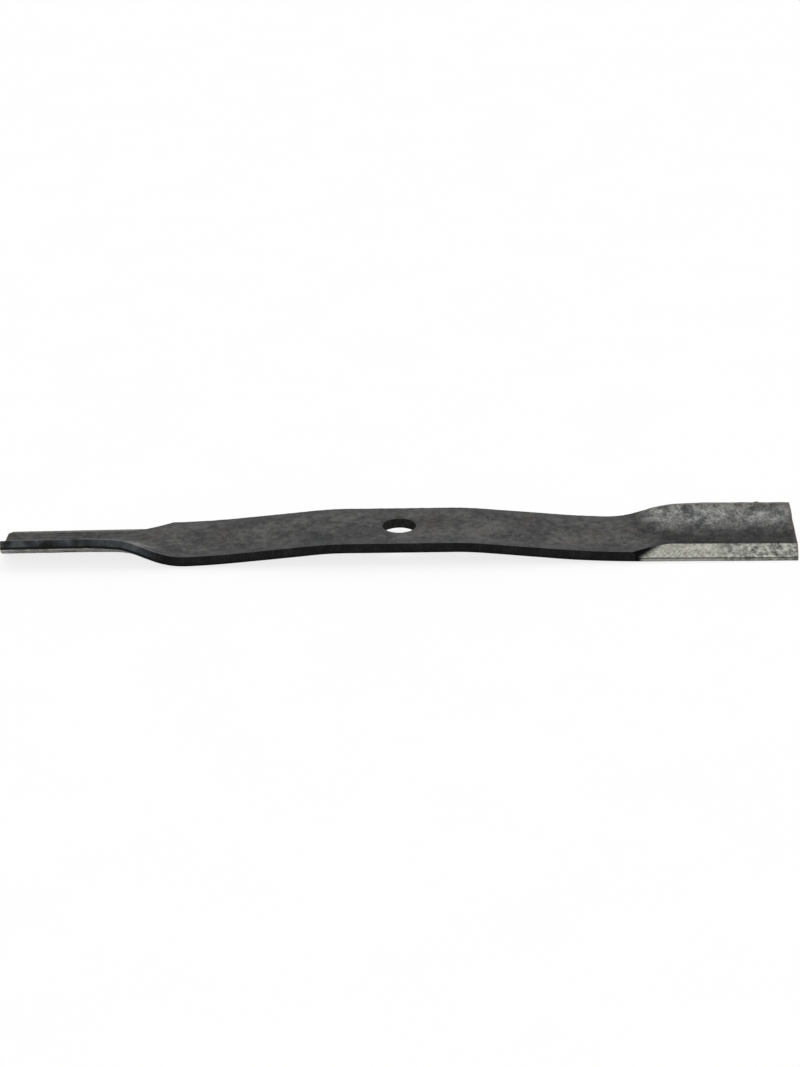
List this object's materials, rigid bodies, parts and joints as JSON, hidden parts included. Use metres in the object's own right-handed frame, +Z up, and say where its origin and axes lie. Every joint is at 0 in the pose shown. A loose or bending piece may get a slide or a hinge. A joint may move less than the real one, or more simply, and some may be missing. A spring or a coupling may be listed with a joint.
{
  "type": "rotary mower blade",
  "caption": "Flat steel mower blade with a central bore, arms that drop from the seat, curled lift wings and ground cutting edges at both tips.",
  "frame": {"origin": "middle of the bore, half way through the bar's thickness", "axes": "+Z up along the bore, out of the side to which the lift wings curl; +X along the blade"},
  "size_m": [0.473, 0.0514, 0.0174],
  "materials": {
    "mill_scale_steel": "dark rolled mill scale, satin and slightly mottled, with bare ground steel on the two bevels"
  },
  "bodies": {
    "root": {"blade": "mill_scale_steel"}
  },
  "joints": []
}
